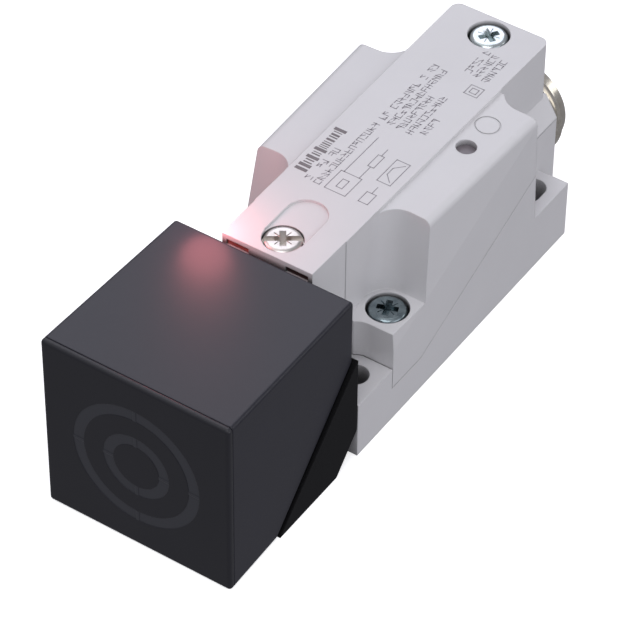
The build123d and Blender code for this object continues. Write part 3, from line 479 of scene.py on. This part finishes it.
@dataclass
class Printing:
    """Pad printing on the plateau: plain marks that stand for the maker's lines, and a wiring sketch.

    Places are in millimetres in the part's frame, X across and Y along the housing.
    """

    ink_mm: float = 0.012  # how far the ink stands on the plastic
    seed: int = 11
    sign_height_mm: float = 1.25
    sign_width_mm: float = 0.8
    sign_spacing: float = 1.6
    sign_stroke_mm: float = 0.17
    space_share: float = 0.16

    def build(self) -> list[str]:
        """Make the four printed pieces and return their names."""
        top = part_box("cover")[1].z
        return [
            self.piece("printed_code_strip", self.code_strip(), Shade.DARK_PRINT, top),
            self.piece("printed_lines", self.lines(), Shade.PRINT, top),
            self.piece("printed_wiring_sketch", self.wiring(), Shade.PRINT, top),
            self.piece("printed_insulation_mark", self.insulation_mark(), Shade.PRINT, top),
        ]

    def code_strip(self) -> list[tuple]:
        """Bars of uneven width across a strip, as strokes."""
        draw = random.Random(self.seed)
        strokes = []
        y = -14.6
        while y < -1.6:
            width = draw.choice((0.22, 0.34, 0.55, 0.8))
            strokes.append(((-8.7, y + width / 2), (-6.9, y + width / 2), width))
            y += width + draw.choice((0.3, 0.45))
        return strokes

    def lines(self) -> list[tuple]:
        """Rows of made-up signs where a nameplate's lines would stand, as strokes.

        The signs are drawn at random from a few plain bars, so they spell nothing.
        """
        draw = random.Random(self.seed + 1)
        rows = [(-5.3, -15.7, -5.3), (-3.3, -15.9, 24.6), (-1.2, 5.4, 24.8), (0.9, 5.2, 17.0), (3.0, 5.2, 18.2),
                (5.3, 6.6, 13.2), (2.6, 26.3, 34.4), (4.6, 26.0, 34.0), (6.7, 25.6, 33.4)]
        strokes = []
        for x, start, end in rows:
            y = start
            while y < end - self.sign_width_mm:
                if draw.random() > self.space_share:
                    strokes += self.sign(x, y, draw)
                y += self.sign_width_mm * self.sign_spacing
        return strokes

    def sign(self, x: float, y: float, draw: random.Random) -> list[tuple]:
        """One made-up sign: three bars out of the seven that fit its cell.

        Args:
            x: middle of the row.
            y: where the sign starts.
            draw: source of the random choice.

        Returns:
            The sign's strokes.
        """
        top, foot = x - self.sign_height_mm / 2, x + self.sign_height_mm / 2
        near, far = y, y + self.sign_width_mm
        bars = [((top, near), (foot, near)), ((top, far), (foot, far)), ((top, near), (top, far)),
                ((x, near), (x, far)), ((foot, near), (foot, far)), ((top, near), (x, far)), ((x, near), (foot, far))]
        return [(a, b, self.sign_stroke_mm) for a, b in draw.sample(bars, 3)]

    def wiring(self) -> list[tuple]:
        """The sensor as a box with two wires, a load and a pulse diagram, as strokes."""
        strokes = []
        strokes += self.outline(-1.5, 3.0, -16.0, -10.4)
        strokes += self.outline(0.1, 1.4, -14.6, -12.2)
        strokes += self.chain([(-0.9, -10.4), (-0.9, 1.0)])
        strokes += self.chain([(2.4, -10.4), (2.4, -6.6)])
        strokes += self.outline(1.75, 3.05, -6.6, -3.0)
        strokes += self.chain([(2.4, -3.0), (2.4, -0.9)])
        strokes += self.outline(5.3, 8.2, -9.0, -2.2)
        strokes += self.chain([(7.6, -8.3), (6.0, -6.6), (6.0, -4.6), (7.6, -2.9)])
        strokes += self.outline(5.6, 7.6, -15.6, -12.6)
        strokes += self.chain([(6.6, -12.6), (6.6, -10.6)])
        return strokes

    def insulation_mark(self) -> list[tuple]:
        """Two nested squares, the plain symbol for double insulation, as strokes."""
        return self.outline(5.2, 8.0, 20.8, 23.6) + self.outline(5.9, 7.3, 21.5, 22.9)

    @staticmethod
    def chain(points: list[tuple[float, float]], width: float = 0.16) -> list[tuple]:
        """Strokes that join the points in order."""
        return [(a, b, width) for a, b in zip(points, points[1:])]

    def outline(self, x0: float, x1: float, y0: float, y1: float) -> list[tuple]:
        """Strokes along the four sides of a rectangle."""
        return self.chain([(x0, y0), (x1, y0), (x1, y1), (x0, y1), (x0, y0)])

    def piece(self, name: str, strokes: list[tuple], shade: Shade, top: float) -> str:
        """Make one printed piece from its strokes.

        Args:
            name: the piece's name.
            strokes: (start, end, width) of each stroke, in millimetres.
            shade: the ink's finish.
            top: height of the plateau, in metres.

        Returns:
            The piece's name.
        """
        mesh = bmesh.new()
        for start, end, width in strokes:
            self.add_stroke(mesh, Vector(start), Vector(end), width, top)
        data = bpy.data.meshes.new(name)
        mesh.to_mesh(data)
        mesh.free()
        made = bpy.data.objects.new(name, data)
        bpy.context.scene.collection.objects.link(made)
        data.materials.append(shade.value.material())
        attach(made, "housing")
        return name

    def add_stroke(self, mesh: bmesh.types.BMesh, start: Vector, end: Vector, width: float, top: float) -> None:
        """Add one stroke as a thin closed plate.

        Args:
            mesh: the mesh that takes the plate.
            start: one end of the stroke's middle line, in millimetres.
            end: the other end.
            width: the stroke's width in millimetres.
            top: height of the plateau, in metres.
        """
        along = (end - start).normalized() * width / 2
        side = Vector((-along.y, along.x))
        corners = [start - along - side, end + along - side, end + along + side, start - along + side]
        if (end - start).length > 3 * width and width > 0.2:
            corners = [start - side, end - side, end + side, start + side]
        ink = self.ink_mm * MM
        lower = [mesh.verts.new((c.x * MM, c.y * MM, top - ink)) for c in corners]
        upper = [mesh.verts.new((c.x * MM, c.y * MM, top + ink)) for c in corners]
        mesh.faces.new(upper)
        mesh.faces.new(list(reversed(lower)))
        for i in range(4):
            j = (i + 1) % 4
            mesh.faces.new((lower[i], lower[j], upper[j], upper[i]))


@dataclass
class Indicators:
    """Light guides, their LEDs and the round indicator; the left guide is lit."""

    def build(self) -> list[str]:
        """Dress the indicators and return their names."""
        return [
            dress("light_guide_left", Shade.LIT_GUIDE),
            dress("light_guide_right", Shade.DARK_GUIDE),
            dress("status_led_left", Shade.LIT_LED),
            dress("status_led_right", Shade.LED_BODY),
            dress("indicator_window", Shade.WINDOW),
            dress("indicator_led", Shade.LED_BODY),
        ]


@dataclass
class Electronics:
    """Board and components inside the housing."""

    def build(self) -> list[str]:
        """Dress the electronics and return their names."""
        shades = {
            "main_board": Shade.BOARD, "suppression_choke": Shade.FERRITE, "capacitors": Shade.SLEEVE,
            "output_transistor": Shade.EPOXY, "transistor_tab": Shade.TINNED, "control_chip": Shade.EPOXY,
            "chip_resistors": Shade.EPOXY, "head_plug": Shade.BLACK_CARRIER, "head_leads": Shade.LEAD,
        }
        return [dress(node, shade) for node, shade in shades.items()]


@dataclass
class Connector:
    """Threaded receptacle at the rear, with its insert, pins, seal and leads."""

    def build(self) -> list[str]:
        """Dress the connector and return its pieces' names."""
        return [
            dress("connector_shell", Shade.NICKEL_BRASS),
            dress("connector_insert", Shade.BLACK_CARRIER),
            dress("connector_pins", Shade.GOLD),
            dress("connector_o_ring", Shade.RUBBER),
            dress("connector_leads", Shade.LEAD),
        ]


@dataclass
class Swivel:
    """The wedge that turns on the housing, and its seals."""

    def build(self) -> list[str]:
        """Dress the wedge and its seals and return their names."""
        return [
            dress("swivel_wedge", Shade.BLACK_PA),
            dress("neck_o_ring", Shade.RUBBER),
            dress("split_seal", Shade.RUBBER),
        ]


@dataclass
class Head:
    """The cube head: shell, sensing face, spindle and what is potted inside."""

    edge_radius_mm: float = 0.2

    def build(self) -> list[str]:
        """Dress the head's pieces and return their names."""
        shades = {
            "head_spindle": Shade.BLACK_PA, "spindle_o_ring": Shade.RUBBER, "ferrite_core": Shade.FERRITE,
            "coil_bobbin": Shade.BOBBIN, "coil_winding": Shade.COPPER, "head_board": Shade.BOARD,
            "head_board_parts": Shade.EPOXY, "head_potting": Shade.RESIN,
        }
        outside = [
            dress("head_shell", Shade.BLACK_PBT, SoftEdges(self.edge_radius_mm)),
            dress("face_cap", Shade.FACE_PBT),
        ]
        return outside + [dress(node, shade) for node, shade in shades.items()]


# ---- studio ------------------------------------------------------------------------------------------------
@dataclass
class Studio:
    """Pale floor, soft lights and the camera."""

    floor_half_m: float = 3.0
    azimuth_deg: float = 33.43
    elevation_deg: float = 43.79
    roll_deg: float = 0.72
    distance_m: float = 0.6121
    lens_mm: float = 202.4
    sensor_mm: float = 36.0
    target_mm: tuple[float, float, float] = (23.55, -54.80, 50.84)
    sky_low: float = 0.28
    sky_high: float = 0.46

    def build(self) -> list[str]:
        """Make the floor, the lights and the camera and return their names."""
        self.world()
        names = [self.floor(), self.camera()]
        names.append(self.area_light("top_softbox", (-0.5, 0.2, 1.15), 0.9, 1.6, "ffffff"))
        names.append(self.area_light("back_softbox", (-0.62, 0.92, 0.98), 0.9, 3.8, "f0f0ff"))
        names.append(self.area_light("side_softbox", (1.35, -0.1, 0.55), 1.1, 6.0, "f8f8ff"))
        names.append(self.area_light("front_softbox", (0.2, -0.65, 1.2), 0.8, 5.0, "fbfbff"))
        names.append(self.area_light("rim_strip", (0.75, 0.65, 0.42), 0.35, 0.7, "ffffff"))
        names.append(self.glow_light("glow_core", 5.0, 5.5, 0.0068, "ff8c94"))
        names.append(self.glow_light("glow_haze", 10.0, 8.0, 0.0022, "ff9098"))
        return names

    def world(self) -> None:
        """Pale light from above that fades towards the ground, as in a tent with a dark floor."""
        world = bpy.data.worlds.new("studio_world")
        world.use_nodes = True
        tree = world.node_tree
        way = add_node(tree, "TexCoord", {}, {}).outputs["Generated"]
        height = add_node(tree, "SeparateXYZ", {}, {"Vector": way}).outputs["Z"]
        settings = {"From Min": -0.3, "From Max": 0.9, "To Min": self.sky_low, "To Max": self.sky_high}
        strength = add_node(tree, "MapRange", settings, {"Value": height}).outputs["Result"]
        tree.nodes["Background"].inputs["Color"].default_value = linear("f6f6ff")
        tree.links.new(strength, tree.nodes["Background"].inputs["Strength"])
        bpy.context.scene.world = world

    def floor(self) -> str:
        """Make the plain pale floor that the sensor lies on."""
        mesh = bmesh.new()
        bmesh.ops.create_grid(mesh, x_segments=8, y_segments=8, size=self.floor_half_m)
        data = bpy.data.meshes.new("floor")
        mesh.to_mesh(data)
        mesh.free()
        made = bpy.data.objects.new("floor", data)
        bpy.context.scene.collection.objects.link(made)
        made.location.z = -0.02 * MM
        made.visible_diffuse = False  # the sweep is pure backdrop and throws no light back
        made.visible_glossy = False
        material = bpy.data.materials.new("white_paper_sweep")
        material.use_nodes = True
        shader = material.node_tree.nodes["Principled BSDF"]
        shader.inputs["Base Color"].default_value = linear("f8f8f8")
        shader.inputs["Roughness"].default_value = 0.9
        shader.inputs["Emission Color"].default_value = linear("ffffff")
        shader.inputs["Emission Strength"].default_value = 0.6
        data.materials.append(material)
        return made.name

    def camera(self) -> str:
        """Place the camera by its direction, roll and distance from its target."""
        azimuth = math.radians(self.azimuth_deg)
        elevation = math.radians(self.elevation_deg)
        back = Vector((math.sin(azimuth) * math.cos(elevation), -math.cos(azimuth) * math.cos(elevation),
                       math.sin(elevation)))
        data = bpy.data.cameras.new("camera")
        data.lens = self.lens_mm
        data.sensor_width = self.sensor_mm
        data.clip_start = 0.01
        made = bpy.data.objects.new("camera", data)
        bpy.context.scene.collection.objects.link(made)
        turn = (-back).to_track_quat("-Z", "Y").to_matrix().to_4x4()
        roll = Matrix.Rotation(math.radians(self.roll_deg), 4, "Z")
        spot = Matrix.Translation(Vector(self.target_mm) * MM + back * self.distance_m)
        made.matrix_world = spot @ turn @ roll
        bpy.context.scene.camera = made
        bpy.context.scene.view_settings.view_transform = "Standard"
        return made.name

    def area_light(self, name: str, place: tuple[float, float, float], size: float, watts: float,
                   colour: str) -> str:
        """Make a square soft light that faces the sensor.

        Args:
            name: the light's name.
            place: its middle, in metres.
            size: its side, in metres.
            watts: its power.
            colour: its colour, sRGB hex.

        Returns:
            The light's name.
        """
        data = bpy.data.lights.new(name, "AREA")
        data.size = size
        data.energy = watts
        data.color = linear(colour)[:3]
        made = bpy.data.objects.new(name, data)
        bpy.context.scene.collection.objects.link(made)
        made.location = place
        middle = (CAD_BOX[0] + CAD_BOX[1]) / 2
        made.rotation_euler = (middle - Vector(place)).to_track_quat("-Z", "Y").to_euler()
        return name

    def glow_light(self, name: str, height_mm: float, radius_mm: float, watts: float, colour: str) -> str:
        """Make a small red light that the lit guide spreads over the head and the plateau.

        Args:
            name: the light's name.
            height_mm: how far it floats above the guide.
            radius_mm: its radius.
            watts: its power.
            colour: its colour, sRGB hex.

        Returns:
            The light's name.
        """
        data = bpy.data.lights.new(name, "POINT")
        data.energy = watts
        data.color = linear(colour)[:3]
        data.shadow_soft_size = radius_mm * MM
        made = bpy.data.objects.new(name, data)
        bpy.context.scene.collection.objects.link(made)
        low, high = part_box("light_guide_left")
        made.location = (low.x - GLOW_OUTWARD_MM * MM, low.y - GLOW_FORWARD_MM * MM, high.z + height_mm * MM)
        made.visible_camera = False
        return name


def main() -> None:
    """Build every sub-assembly in order and report its pieces."""
    logging.basicConfig(level=logging.INFO, format="%(name)s: %(message)s")
    for part in (Housing(), Printing(), Indicators(), Electronics(), Connector(), Swivel(), Head(), Studio()):
        for name in part.build():
            log.info("%s: %s", type(part).__name__, name)


if __name__ == "__main__":
    main()
